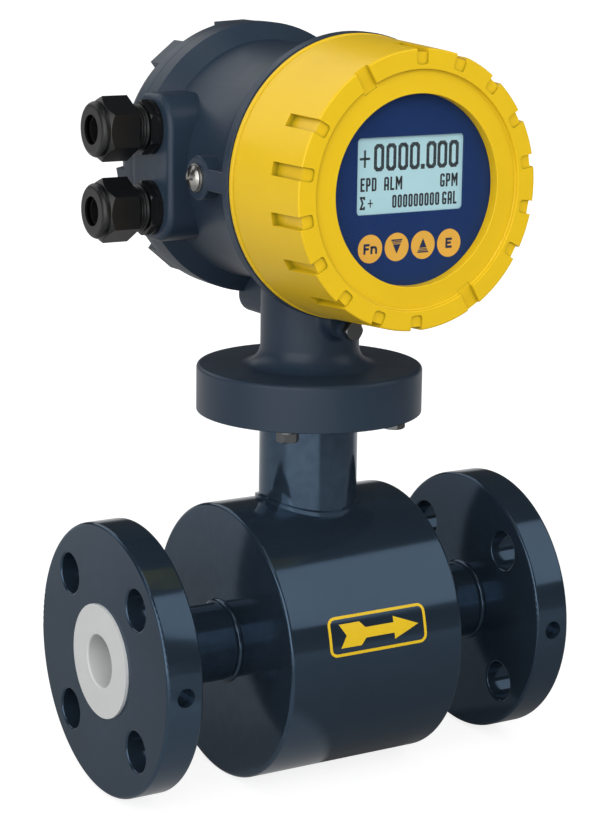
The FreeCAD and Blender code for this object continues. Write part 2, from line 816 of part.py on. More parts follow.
def window_glass():
    points = [
        (glass_y, 0), (glass_y, glass_r, 0.2), (glass_y + glass_t, glass_r), (glass_y + glass_t, 0),
    ]
    return turned(points, "Y", HEAD)


def cover_lug():
    """Flat-topped grip lug of the rear cover, at three o'clock."""
    half = lug_width / 2
    top = math.sqrt(rear_cover_r ** 2 - half ** 2)
    start = rear_seam_y + rear_cover_band - 0.5
    points = [(cover_bore_r, -half), (top, -half), (top, half), (cover_bore_r, half)]
    return extruded(points, "Y", start, rear_back_y, HEAD)


def rear_cover():
    """Blind screwed cover with grip lugs round its back edge."""
    band_y = rear_seam_y + rear_cover_band
    floor_y = rear_back_y - rear_cover_wall
    points = [
        (rear_seam_y, cover_bore_r), (rear_seam_y, rear_cover_r, 0.3), (band_y, rear_cover_r),
        (rear_back_y, rear_cover_back_r, 1.2), (rear_back_y, rear_recess_r, 0.5),
        (rear_back_y - rear_recess, rear_recess_r - rear_recess, 0.5),
        (rear_back_y - rear_recess, 0), (floor_y, 0), (floor_y, cover_bore_r),
    ]
    shapes = [turned(points, "Y", HEAD)]
    for angle in lug_angles:
        for lug in around(cover_lug(), 2, "Y", HEAD, -angle):
            shapes.append(lug)
    cover = joined(shapes)
    seal_y = rear_seam_y + rear_seal_inset
    outer = spigot_r + seal_gap + 2 * seal_section_r + seal_slack
    return cover.cut(seal_groove(seal_y, spigot_r, outer))


# ---------------------------------------------------------------- cable glands

def gland_axis(place):
    """Axis of the upper (+1) or the lower (-1) gland."""
    return FreeCAD.Vector(0, entry_y, head_z + place * entry_spacing / 2)


def gland_gasket(place):
    return ring(gland_flange_r, entry_thread_r, "X", hex_x, pad_x, gland_axis(place))


def gland_body(place):
    """Body: entry thread, hexagon, and the thread that the dome nut runs on."""
    at = gland_axis(place)
    corner_r = gland_hex_af / math.sqrt(3)
    chamfer = [
        (hex_x, 0), (hex_x, corner_r), (thread_x + gland_hex_corner, corner_r),
        (thread_x, corner_r - gland_hex_corner), (thread_x, 0),
    ]
    hexa = extruded(hexagon(gland_hex_af, 90), "X", thread_x, hex_x, at)
    hexa = hexa.common(turned(chamfer, "X", at))
    flange = rod(gland_flange_r, "X", hex_x - gland_flange_t, hex_x, at)
    entry = rod(entry_thread_r, "X", hex_x, pad_x + entry_thread, at)
    thread = turned([
        (thread_x, 0), (thread_x, gland_thread_r), (gland_end_x, gland_thread_r, 0.8),
        (gland_end_x, 0),
    ], "X", at)
    body = joined([hexa, flange, entry, thread])
    body = body.cut(rod(gland_bore_r, "X", gland_end_x, pad_x + entry_thread, at))
    return body.cut(rod(seal_r, "X", gland_end_x, gland_end_x + seal_seat, at))


def gland_seal(place):
    """Rubber ring that closes on the cable, with a taper that the nut presses on."""
    at = gland_axis(place)
    back = gland_end_x + seal_seat - seal_clearance
    outer = seal_r - seal_clearance
    nose = mouth_x + nut_shoulder - 1.2
    points = [
        (back, cable_r), (back, outer), (gland_end_x, outer),
        (nose, cable_r + 1.0), (nose, cable_r),
    ]
    return turned(points, "X", at)


def gland_nut(place):
    """Dome nut."""
    at = gland_axis(place)
    corner_r = nut_af / math.sqrt(3)
    edge = corner_r - nut_af / 2
    dome_r = nut_af / 2 - 0.2
    shape = [
        (nut_x, 0), (nut_x, corner_r), (nut_front_x + edge, corner_r),
        (nut_front_x, dome_r), (mouth_x, dome_r, nut_dome_round), (mouth_x, 0),
    ]
    nut = extruded(hexagon(nut_af, 90), "X", mouth_x, nut_x, at).common(turned(shape, "X", at))
    thread_r = gland_thread_r + thread_gap
    shoulder_x = mouth_x + nut_shoulder
    hollow = [
        (nut_x, 0), (nut_x, thread_r), (shoulder_x, thread_r),
        (mouth_x + 1.0, nut_mouth_r), (mouth_x, nut_mouth_r, 0), (mouth_x, 0),
    ]
    return nut.cut(turned(hollow, "X", at))


# ---------------------------------------------------------------- ground and lock screws

def ground_washer():
    spot = FreeCAD.Vector(0, boss_y, head_z)
    return ring(ground_washer_r, ground_screw_r + washer_gap, "X", boss_x - ground_washer_t, boss_x, spot)


def ground_screw():
    """Pan-head screw with a cross recess."""
    spot = FreeCAD.Vector(0, boss_y, head_z)
    seat = boss_x - ground_washer_t
    top = seat - ground_head_t
    head = turned([
        (seat, 0), (seat, ground_head_r), (seat - 0.9, ground_head_r),
        (top, 0, 0, (top + 0.55, ground_head_r * 0.6)),
    ], "X", spot)
    shank = rod(ground_screw_r - screw_gap, "X", seat, boss_x + ground_screw_length, spot)
    screw = joined([head, shank])
    for half_y, half_z in ((cross_length / 2, cross_width / 2), (cross_width / 2, cross_length / 2)):
        points = rectangle(half_y, half_z, 0.0, boss_y)
        screw = screw.cut(extruded(points, "X", top - 1, top + cross_depth, HEAD))
    return screw


def lock_washer(seat, way):
    """Spring washer against a seat on the lock lug; way is the side that the head is on."""
    at = FreeCAD.Vector(0, 0, lock_z)
    return ring(lock_washer_r, lock_screw_r + washer_gap, "Y", seat, seat + way * lock_washer_t, at)


def lock_screw(seat, way):
    """Hexagon screw that locks a cover."""
    at = FreeCAD.Vector(0, 0, lock_z)
    under = seat + way * lock_washer_t
    top = under + way * lock_screw_head
    corner_r = lock_screw_af / math.sqrt(3)
    edge = corner_r - lock_screw_af / 2
    dome = [
        (under, 0), (under, corner_r + 0.1), (top - way * edge, corner_r + 0.1),
        (top, lock_screw_af / 2), (top, 0),
    ]
    head = extruded(hexagon(lock_screw_af), "Y", under, top, at).common(turned(dome, "Y", at))
    shank = rod(lock_screw_r - screw_gap, "Y", under, seat - way * lock_screw_length, at)
    return joined([head, shank])


# ---------------------------------------------------------------- display and electronics

def lcd_outline(margin, corner):
    return rectangle(lcd_width / 2 + margin, lcd_height / 2 + margin, corner, 0, lcd_rise)


def key_places():
    return [(index - (keys - 1) / 2) * key_pitch for index in range(keys)]


def display_panel():
    """Front plate with the screen window and the holes of the touch keys."""
    panel = rod(panel_r, "Y", panel_y, carrier_y, HEAD)
    panel = panel.cut(extruded(lcd_outline(0, lcd_corner), "Y", panel_y, carrier_y, HEAD))
    for place in key_places():
        spot = FreeCAD.Vector(place, 0, head_z - key_drop)
        panel = panel.cut(rod(key_r, "Y", panel_y, carrier_y, spot))
    return panel


def touch_keys():
    """Flat touch pads, level with the panel."""
    pads = []
    for place in key_places():
        spot = FreeCAD.Vector(place, 0, head_z - key_drop)
        pads.append(rod(key_r - key_gap, "Y", panel_y, carrier_y, spot))
    return group(pads)


def lcd_pane():
    return extruded(lcd_outline(lcd_margin, 0), "Y", carrier_y, display_board_y, HEAD)


def display_carrier():
    """Moulded cup that holds the panel, the screen and its board."""
    rear_y = carrier_y + carrier_depth
    cup = rod(carrier_r, "Y", carrier_y, rear_y, HEAD)
    cup = cup.cut(rod(carrier_r - carrier_wall, "Y", display_board_y, rear_y, HEAD))
    return cup.cut(extruded(lcd_outline(lcd_margin, 0), "Y", carrier_y, display_board_y, HEAD))


def display_board():
    return rod(display_board_r, "Y", display_board_y, display_board_y + board_t, HEAD)


def main_board():
    return rod(main_board_r, "Y", board_front_y, main_board_y, HEAD)


def pillar_set(start, end):
    """Hexagon pillars between two levels in the front chamber."""
    spot = FreeCAD.Vector(pillar_circle_r, 0, head_z)
    pillar = extruded(hexagon(pillar_af), "Y", start, end, spot)
    return group(around(pillar, pillars, "Y", HEAD, 180.0 / pillars))


def terminal_block():
    """Row of wire terminals on the rear face of the partition."""
    start = partition_y + partition_t
    block = extruded(rectangle(terminal_width / 2, terminal_height / 2), "Y", start,
                     start + terminal_depth, HEAD)
    for index in range(terminals):
        place = (index - (terminals - 1) / 2) * terminal_step
        mouth = rectangle(terminal_step * 0.32, terminal_height * 0.17, 0, place, -terminal_height * 0.24)
        block = block.cut(extruded(mouth, "Y", start + 4, start + terminal_depth, HEAD))
    return block


def terminal_screws():
    start = partition_y + partition_t + terminal_depth
    heads = []
    for index in range(terminals):
        place = (index - (terminals - 1) / 2) * terminal_step
        spot = FreeCAD.Vector(place, 0, head_z + terminal_height * 0.22)
        heads.append(rod(terminal_screw_r, "Y", start, start + terminal_screw_t, spot))
    return group(heads)


# ---------------------------------------------------------------- all parts

def parts():
    """Every sub-part by name."""
    front_seat = lug_front_y - lock_boss_t
    return {
        "tube_liner": tube_liner(),
        "measuring_tube": measuring_tube(),
        "inlet_flange": flange(-1),
        "outlet_flange": flange(1),
        "tube_welds": tube_welds(),
        "coil_housing": coil_housing(),
        "saddle_coils": saddle_coils(),
        "pole_cores": pole_cores(),
        "magnet_yoke": magnet_yoke(),
        "electrodes": electrodes(),
        "electrode_sleeves": electrode_sleeves(),
        "electrode_nuts": electrode_nuts(),
        "neck_tube": neck_tube(),
        "neck_weld": neck_weld(),
        "neck_plate": neck_plate(),
        "neck_gasket": neck_gasket(),
        "neck_bolts": neck_bolt_set(),
        "neck_washers": neck_washers(),
        "transmitter_housing": transmitter_housing(),
        "front_seal": front_seal(),
        "rear_seal": rear_seal(),
        "front_cover": front_cover(),
        "window_glass": window_glass(),
        "rear_cover": rear_cover(),
        "gland_gasket_upper": gland_gasket(1),
        "gland_gasket_lower": gland_gasket(-1),
        "gland_body_upper": gland_body(1),
        "gland_body_lower": gland_body(-1),
        "gland_seal_upper": gland_seal(1),
        "gland_seal_lower": gland_seal(-1),
        "gland_nut_upper": gland_nut(1),
        "gland_nut_lower": gland_nut(-1),
        "ground_washer": ground_washer(),
        "ground_screw": ground_screw(),
        "front_lock_washer": lock_washer(front_seat, -1),
        "front_lock_screw": lock_screw(front_seat, -1),
        "rear_lock_washer": lock_washer(lug_rear_y, 1),
        "rear_lock_screw": lock_screw(lug_rear_y, 1),
        "display_panel": display_panel(),
        "touch_keys": touch_keys(),
        "lcd_pane": lcd_pane(),
        "display_carrier": display_carrier(),
        "display_board": display_board(),
        "display_pillars": pillar_set(display_board_y + board_t, board_front_y),
        "main_board": main_board(),
        "board_pillars": pillar_set(main_board_y, partition_y),
        "terminal_block": terminal_block(),
        "terminal_screws": terminal_screws(),
    }


os.makedirs("parts", exist_ok=True)
for name, shape in parts().items():
    shape.exportStep("parts/" + name + ".step")
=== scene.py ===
"""Looks of a flanged electromagnetic flow meter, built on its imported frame.

Lengths in the classes are millimetres in the part's own frame: +X runs along the flow tube, the
display faces -Y and +Z is up. Meshes are written in metres, which is what the frame uses.
"""
import logging
import math
from dataclasses import dataclass
from typing import Iterable, Sequence

import bpy
import numpy as np
from mathutils import Matrix, Vector


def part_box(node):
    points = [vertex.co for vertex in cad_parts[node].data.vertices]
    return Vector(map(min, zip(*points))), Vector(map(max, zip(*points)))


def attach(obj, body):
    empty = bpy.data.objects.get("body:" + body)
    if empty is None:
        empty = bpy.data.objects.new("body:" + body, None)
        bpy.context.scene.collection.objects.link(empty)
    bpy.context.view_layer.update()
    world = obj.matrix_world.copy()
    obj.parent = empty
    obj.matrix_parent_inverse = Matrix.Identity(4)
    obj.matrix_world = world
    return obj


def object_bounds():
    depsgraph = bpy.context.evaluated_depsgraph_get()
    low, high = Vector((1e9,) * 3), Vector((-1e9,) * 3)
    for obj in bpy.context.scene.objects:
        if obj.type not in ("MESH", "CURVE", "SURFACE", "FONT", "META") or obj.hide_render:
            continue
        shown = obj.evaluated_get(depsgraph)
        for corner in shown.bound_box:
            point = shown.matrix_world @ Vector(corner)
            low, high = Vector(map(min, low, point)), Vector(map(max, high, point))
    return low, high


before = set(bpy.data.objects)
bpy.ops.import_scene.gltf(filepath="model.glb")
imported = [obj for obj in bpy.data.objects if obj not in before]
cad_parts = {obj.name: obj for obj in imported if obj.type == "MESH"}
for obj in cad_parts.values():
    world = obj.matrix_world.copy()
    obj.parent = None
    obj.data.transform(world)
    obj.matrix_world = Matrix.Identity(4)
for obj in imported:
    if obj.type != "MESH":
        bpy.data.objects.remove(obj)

LOG = logging.getLogger("flow_meter")
CAD_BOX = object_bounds()
MM = 0.001

Point = Sequence[float]


# ---------------------------------------------------------------- finishes


def linear(colour: str) -> tuple[float, float, float, float]:
    """Scene-linear colour of a #rrggbb value."""
    parts = [int(colour[place:place + 2], 16) / 255 for place in (1, 3, 5)]
    return (*(part / 12.92 if part <= 0.04045 else ((part + 0.055) / 1.055) ** 2.4 for part in parts), 1.0)


@dataclass
class Graph:
    """Node tree of one material, with short calls for the nodes that the finishes share."""

    tree: bpy.types.NodeTree

    def node(self, kind: str, inputs: dict[str, object] | None = None, **settings: object) -> bpy.types.Node:
        """Adds a node.

        Args:
            kind: Blender's name of the node type, without its ShaderNode prefix.
            inputs: Socket values, or sockets to link from, by socket name.
            settings: Properties of the node.

        Returns:
            The new node.
        """
        made = self.tree.nodes.new("ShaderNode" + kind)
        for name, value in settings.items():
            setattr(made, name, value)
        for name, value in (inputs or {}).items():
            self.feed(made.inputs[name], value)
        return made

    def feed(self, socket: bpy.types.NodeSocket, value: object) -> None:
        """Links or sets one socket."""
        if isinstance(value, bpy.types.NodeSocket):
            self.tree.links.new(value, socket)
        else:
            socket.default_value = value

    def place(self) -> bpy.types.NodeSocket:
        """Place on the part, in metres."""
        return self.node("TexCoord").outputs["Object"]

    def stretched(self, scale: Point) -> bpy.types.NodeSocket:
        """Place on the part, stretched along each axis."""
        return self.node("Mapping", {"Vector": self.place(), "Scale": tuple(scale)}).outputs["Vector"]

    def noise(self, size: float, detail: float = 3.0, rough: float = 0.55, at: object = None) -> bpy.types.NodeSocket:
        """Noise with patches of a size in millimetres, about 0 to 1."""
        return self.node("TexNoise", {"Vector": at or self.place(), "Scale": 1 / (size * MM), "Detail": detail,
                                      "Roughness": rough}).outputs["Fac"]

    def spread(self, value: object, low: float, high: float, start: float = 0.3,
               end: float = 0.7) -> bpy.types.NodeSocket:
        """Maps a value from start..end to low..high."""
        return self.node("MapRange", {"Value": value, "From Min": start, "From Max": end, "To Min": low,
                                      "To Max": high}).outputs["Result"]

    def math(self, way: str, first: object, second: object = 0.0) -> bpy.types.NodeSocket:
        """One arithmetic step."""
        made = self.node("Math", operation=way)
        self.feed(made.inputs[0], first)
        self.feed(made.inputs[1], second)
        return made.outputs[0]

    def mixed(self, share: object, first: object, second: object) -> bpy.types.NodeSocket:
        """Colour between two colours."""
        made = self.node("Mix", data_type="RGBA")
        for place, value in ((0, share), (6, first), (7, second)):
            self.feed(made.inputs[place], value)
        return made.outputs[2]

    def bumped(self, height: object, depth: float, under: object = None) -> bpy.types.NodeSocket:
        """Normal bumped by a height, with its depth in millimetres."""
        made = self.node("Bump", {"Height": height, "Distance": depth * MM, "Strength": 1.0})
        if under is not None:
            self.feed(made.inputs["Normal"], under)
        return made.outputs["Normal"]


@dataclass(frozen=True)
class Finish:
    """Surface finish with variation of colour and gloss, fine bumps, rubbed edges and painted shade in recesses.

    Fields are the colour as #rrggbb, the shader's values, the size in millimetres of the colour
    patches and of the grain, the depth of the grain, how far edges are rubbed lighter, and how
    strongly painted shade darkens recesses of a reach in millimetres, towards a tint.
    """

    name: str
    colour: str
    roughness: float = 0.4
    metallic: float = 0.0
    coat: float = 0.0
    coat_roughness: float = 0.05
    specular: float = 0.5
    variation: float = 0.06
    patch: float = 18.0
    grain: float = 0.6
    depth: float = 0.004
    smear: float = 0.12
    rubbed: float = 0.0
    orange_peel: float = 0.0
    # Painted shade: strength, reach and tint of the darkening of the colour in recesses, standing in for the shade
    # that falls there.
    painted_recess_shade: float = 0.0
    painted_shade_reach: float = 5.0
    painted_shade_tint: tuple[float, float, float] = (0.36, 0.47, 0.8)

    def material(self) -> bpy.types.Material:
        """Builds the material once, and returns it after that."""
        made = bpy.data.materials.get(self.name)
        if made:
            return made
        made = bpy.data.materials.new(self.name)
        made.use_nodes = True
        made.diffuse_color = linear(self.colour)
        graph = Graph(made.node_tree)
        shader = made.node_tree.nodes["Principled BSDF"]
        for socket, value in (("Metallic", self.metallic), ("Coat Weight", self.coat),
                              ("Coat Roughness", self.coat_roughness), ("Specular IOR Level", self.specular)):
            shader.inputs[socket].default_value = value
        self.dress(graph, shader)
        return made

    def dress(self, graph: Graph, shader: bpy.types.Node) -> None:
        """Links colour, roughness and bumps.

        Args:
            graph: The material's nodes.
            shader: The surface shader.
        """
        graph.feed(shader.inputs["Base Color"], self.tone(graph))
        graph.feed(shader.inputs["Roughness"], self.gloss(graph))
        graph.feed(shader.inputs["Normal"], self.relief(graph))

    def tone(self, graph: Graph) -> bpy.types.NodeSocket:
        """Base colour with soft patches, painted shade in recesses and rubbed edges."""
        colour = linear(self.colour)
        patches = graph.spread(graph.noise(self.patch, 4.0), 0.0, 1.0)
        base = graph.mixed(patches, self._shade(colour, 1 - self.variation), self._shade(colour, 1 + self.variation))
        # Painted shade: ambient occlusion mixes the colour towards a darker tint in recesses and creases.
        if self.painted_recess_shade > 0:
            open_share = graph.node("AmbientOcclusion", {"Distance": self.painted_shade_reach * MM}, samples=8,
                                    only_local=True).outputs["AO"]
            depth = graph.spread(open_share, self.painted_recess_shade, 0.0, 0.35, 0.85)
            dark = tuple(part * share for part, share in zip(colour[:3], self.painted_shade_tint))
            base = graph.mixed(depth, base, (*dark, 1.0))
        if self.rubbed <= 0:
            return base
        edges = graph.spread(graph.node("NewGeometry").outputs["Pointiness"], 0.0, 1.0, 0.515, 0.58)
        worn = graph.math("MULTIPLY", edges, graph.spread(graph.noise(5.0), 0.0, self.rubbed))
        return graph.mixed(worn, base, self._shade(colour, 2.2, 0.02))

    def gloss(self, graph: Graph) -> bpy.types.NodeSocket:
        """Roughness with faint smears."""
        smears = graph.noise(self.patch * 1.7, 5.0, 0.6)
        return graph.spread(smears, self.roughness * (1 - self.smear), self.roughness * (1 + self.smear))

    def relief(self, graph: Graph) -> bpy.types.NodeSocket:
        """Fine grain, over a slow waviness where the finish has one."""
        normal = graph.bumped(graph.noise(self.grain, 2.0), self.depth)
        if self.orange_peel > 0:
            normal = graph.bumped(graph.noise(3.2, 1.0), self.orange_peel, normal)
        return normal

    @staticmethod
    def _shade(colour: Point, times: float, plus: float = 0.0) -> tuple[float, float, float, float]:
        """Colour times a number, plus a little."""
        return (*(min(1.0, part * times + plus) for part in colour[:3]), 1.0)


@dataclass(frozen=True)
class MachinedSteel(Finish):
    """Steel turned about an axis, with fine tool marks round it."""

    axis: tuple[float, float, float] = (1.0, 1.0, 1.0)
    mark: float = 0.25

    def relief(self, graph: Graph) -> bpy.types.NodeSocket:
        """Tool marks across the stretched axis."""
        marks = graph.noise(self.mark, 2.0, 0.5, graph.stretched(self.axis))
        return graph.bumped(marks, self.depth)


@dataclass(frozen=True)
class Glass(Finish):
    """Clear flat glass that lets light straight through, with a faint film on it."""

    def dress(self, graph: Graph, shader: bpy.types.Node) -> None:
        """Mirrors as much as glass does, and lets the rest straight through."""
        graph.feed(shader.inputs["Base Color"], linear(self.colour))
        film = graph.spread(graph.noise(self.patch, 3.0), self.roughness * 0.6, self.roughness * 1.6)
        graph.feed(shader.inputs["Roughness"], film)
        normal = graph.bumped(graph.noise(self.grain), self.depth)
        graph.feed(shader.inputs["Normal"], normal)
        mirror = graph.node("Fresnel", {"IOR": 1.12, "Normal": normal}).outputs["Fac"]
        outside = graph.math("SUBTRACT", 1.0, graph.node("NewGeometry").outputs["Backfacing"])
        graph.feed(shader.inputs["Alpha"], graph.math("MULTIPLY", mirror, outside))


@dataclass(frozen=True)
class Screen(Finish):
    """Reflective display: fine darker cells over a pale ground with soft patches."""

    pitch: float = 0.36

    def tone(self, graph: Graph) -> bpy.types.NodeSocket:
        """Ground with faint cells."""
        place = graph.node("SeparateXYZ", {"Vector": graph.place()})
        step = 2 * math.pi / (self.pitch * MM)
        waves = [graph.math("SINE", graph.math("MULTIPLY", place.outputs[axis], step)) for axis in ("X", "Z")]
        cells = graph.spread(graph.math("MAXIMUM", *waves), 0.0, 0.10, 0.55, 1.0)
        colour = linear(self.colour)
        patches = graph.spread(graph.noise(self.patch, 2.0), 0.0, 1.0)
        darker, lighter = (self._shade(colour, 1 + way * self.variation) for way in (-1, 1))
        ground = graph.mixed(patches, darker, lighter)
        return graph.mixed(cells, ground, self._shade(colour, 0.55))


@dataclass(frozen=True)
class Winding(Finish):
    """Enamelled copper wire laid turn by turn."""

    def relief(self, graph: Graph) -> bpy.types.NodeSocket:
        """Rounded turns of wire."""
        length = graph.node("VectorMath", {0: graph.place()}, operation="LENGTH")
        turns = graph.math("SINE", graph.math("MULTIPLY", length.outputs["Value"], 2 * math.pi / (self.grain * MM)))
        return graph.bumped(turns, self.depth)


SENSOR_PAINT = Finish("sensor_gloss_navy", "#3c4d5e", 0.11, metallic=0.7, specular=0.3, variation=0.04,
                      patch=30, grain=0.9, depth=0.0008, rubbed=0.2, orange_peel=0.0010)
HEAD_PAINT = Finish("head_satin_navy", "#2a3848", 0.38, specular=0.28, variation=0.05, patch=22,
                    grain=0.7, depth=0.006, rubbed=0.25, orange_peel=0.003)
# The cover darkens its slots and window walls with painted shade.
COVER_PAINT = Finish("cover_yellow", "#f7cc1e", 0.34, specular=0.3, variation=0.02, patch=25,
                     grain=0.7, depth=0.004, smear=0.15, orange_peel=0.002, painted_recess_shade=0.9)
# The liner darkens with painted shade wherever it is enclosed.
LINER = Finish("liner_polymer", "#dedfdf", 0.42, variation=0.015, patch=9, grain=0.5, depth=0.004, painted_recess_shade=0.9,
               painted_shade_reach=16.0, painted_shade_tint=(0.28, 0.28, 0.28))
COPPER = Winding("winding_enamel", "#8c4a22", 0.3, metallic=0.6, variation=0.12, grain=0.55, depth=0.10)
CORE_IRON = Finish("core_bare_iron", "#5a5654", 0.5, metallic=0.8, variation=0.1, patch=7, grain=0.4, depth=0.01)
ELECTRODE = MachinedSteel("electrode_steel_turned", "#b9b8b2", 0.22, metallic=1.0, variation=0.05, depth=0.004)
BRIGHT_STEEL = MachinedSteel("screw_steel", "#a9a8a4", 0.26, metallic=1.0, variation=0.07, patch=4, depth=0.006)
LOCK_STEEL = MachinedSteel("lock_screw_steel", "#6a6b6c", 0.34, metallic=1.0, variation=0.08, patch=4, depth=0.006)
RUBBER = Finish("seal_rubber_black", "#0c0c0d", 0.75, specular=0.25, variation=0.1, patch=6, grain=0.5, depth=0.01)
NYLON = Finish("gland_nylon_black", "#101113", 0.36, variation=0.08, patch=8, grain=0.45, depth=0.010)
WINDOW = Glass("window_clear_glass", "#f4f8fa", 0.03, metallic=1.0, patch=20, grain=6, depth=0.0005)
PANEL = Finish("panel_navy_film", "#1f3768", 0.42, specular=0.1, variation=0.03, patch=12, grain=0.3, depth=0.003)
KEY = Finish("key_amber_print", "#f0b648", 0.4, variation=0.03, patch=5, grain=0.3, depth=0.003)
SCREEN = Screen("screen_ground", "#bbe4ec", 0.35, variation=0.02, patch=14)
GLYPH = Finish("screen_segment", "#2c3137", 0.4, variation=0.05, patch=3, grain=0.3, depth=0.001)
KEY_MARK = Finish("key_mark_navy", "#1c2c50", 0.4, variation=0.04, patch=3, grain=0.3, depth=0.001)
CARRIER = Finish("carrier_plastic_black", "#1b1c1e", 0.5, variation=0.06, patch=6, grain=0.4, depth=0.008)
BOARD = Finish("board_green", "#1d4a2f", 0.4, variation=0.1, patch=5, grain=0.8, depth=0.01)
TERMINAL = Finish("terminal_plastic_green", "#2f7a4a", 0.42, variation=0.05, patch=6, grain=0.4, depth=0.006)
LABEL = Finish("arrow_label_yellow", "#eec61e", 0.34, variation=0.03, patch=7, grain=0.4, depth=0.002)

SLOT_FINISH: dict[str, Finish] = {
    "sensor_paint": SENSOR_PAINT, "head_paint": HEAD_PAINT, "cover_paint": COVER_PAINT, "liner": LINER,
    "winding": COPPER, "core_iron": CORE_IRON, "electrode_steel": ELECTRODE, "bright_steel": BRIGHT_STEEL,
    "dark_steel": LOCK_STEEL, "seal_rubber": RUBBER, "window_glass": WINDOW, "gland_nylon": NYLON,
    "panel_blue": PANEL, "key_amber": KEY, "screen": SCREEN, "carrier_plastic": CARRIER,
    "circuit_board": BOARD, "terminal_plastic": TERMINAL,
}
NODE_FINISH: dict[str, Finish] = {"neck_bolts": LOCK_STEEL, "neck_washers": LOCK_STEEL}


# ---------------------------------------------------------------- meshes


def new_piece(name: str, points: Iterable[Point], faces: Iterable[Sequence[int]], finish: Finish) -> bpy.types.Object:
    """Makes a piece.

    Args:
        name: Name of the piece.
        points: Its vertices, in millimetres.
        faces: Vertex numbers of each face, anticlockwise from outside.
        finish: Its finish.

    Returns:
        The new object, linked to the scene.
    """
    mesh = bpy.data.meshes.new(name)
    mesh.from_pydata([tuple(float(part) * MM for part in point) for point in points], [], [list(f) for f in faces])
    mesh.validate()
    mesh.update()
    mesh.materials.append(finish.material())
    piece = bpy.data.objects.new(name, mesh)
    bpy.context.scene.collection.objects.link(piece)
    return piece


def crisp_normals(piece: bpy.types.Object, crease: float = 34.0) -> None:
    """Smooths the shading of a tessellated solid without touching its vertices.

    Each face corner takes the mean normal of the faces that meet there within the crease angle.
    A face counts by the area of the whole plane it lies in, so that flats stay flat and every
    rounding runs out in them.

    Args:
        piece: The object.
        crease: Largest angle between faces that shade as one surface, in degrees.
    """
    mesh = piece.data
    count = len(mesh.loops)
    co = np.empty(len(mesh.vertices) * 3)
    mesh.vertices.foreach_get("co", co)
    co = co.reshape(-1, 3)
    vertex = np.empty(count, np.int32)
    mesh.loops.foreach_get("vertex_index", vertex)
    sides = np.empty(len(mesh.polygons), np.int32)
    mesh.polygons.foreach_get("loop_total", sides)
    normals = np.empty(len(mesh.polygons) * 3)
    mesh.polygons.foreach_get("normal", normals)
    normals = normals.reshape(-1, 3)
    areas = np.empty(len(mesh.polygons))
    mesh.polygons.foreach_get("area", areas)
    face = np.repeat(np.arange(len(sides)), sides)
    starts = np.concatenate([[0], np.cumsum(sides)[:-1]])
    offset = (normals * co[vertex[starts]]).sum(1)
    plane = np.column_stack([np.round(normals * 400), np.round(offset / 2e-5)]).astype(np.int64)
    _, cluster = np.unique(plane, axis=0, return_inverse=True)
    cluster = cluster.ravel()
    weight = np.bincount(cluster, areas)[cluster][face]
    _, place = np.unique(np.round(co / 2e-6).astype(np.int64), axis=0, return_inverse=True)
    place = place.ravel()[vertex]
    order = np.argsort(place, kind="stable")
    sorted_place = place[order]
    limit = math.cos(math.radians(crease))
    total = np.zeros((count, 3))
    for shift in range(count):
        first, second = order[:count - shift], order[shift:]
        same = sorted_place[:count - shift] == sorted_place[shift:]
        if not same.any():
            break
        first, second = first[same], second[same]
        near = (normals[face[first]] * normals[face[second]]).sum(1) > limit
        first, second = first[near], second[near]
        np.add.at(total, first, normals[face[second]] * weight[second][:, None])
        if shift:
            np.add.at(total, second, normals[face[first]] * weight[first][:, None])
    total /= np.maximum(np.linalg.norm(total, axis=1), 1e-30)[:, None]
    mesh.polygons.foreach_set("use_smooth", [True] * len(mesh.polygons))
    mesh.normals_split_custom_set(total.tolist())


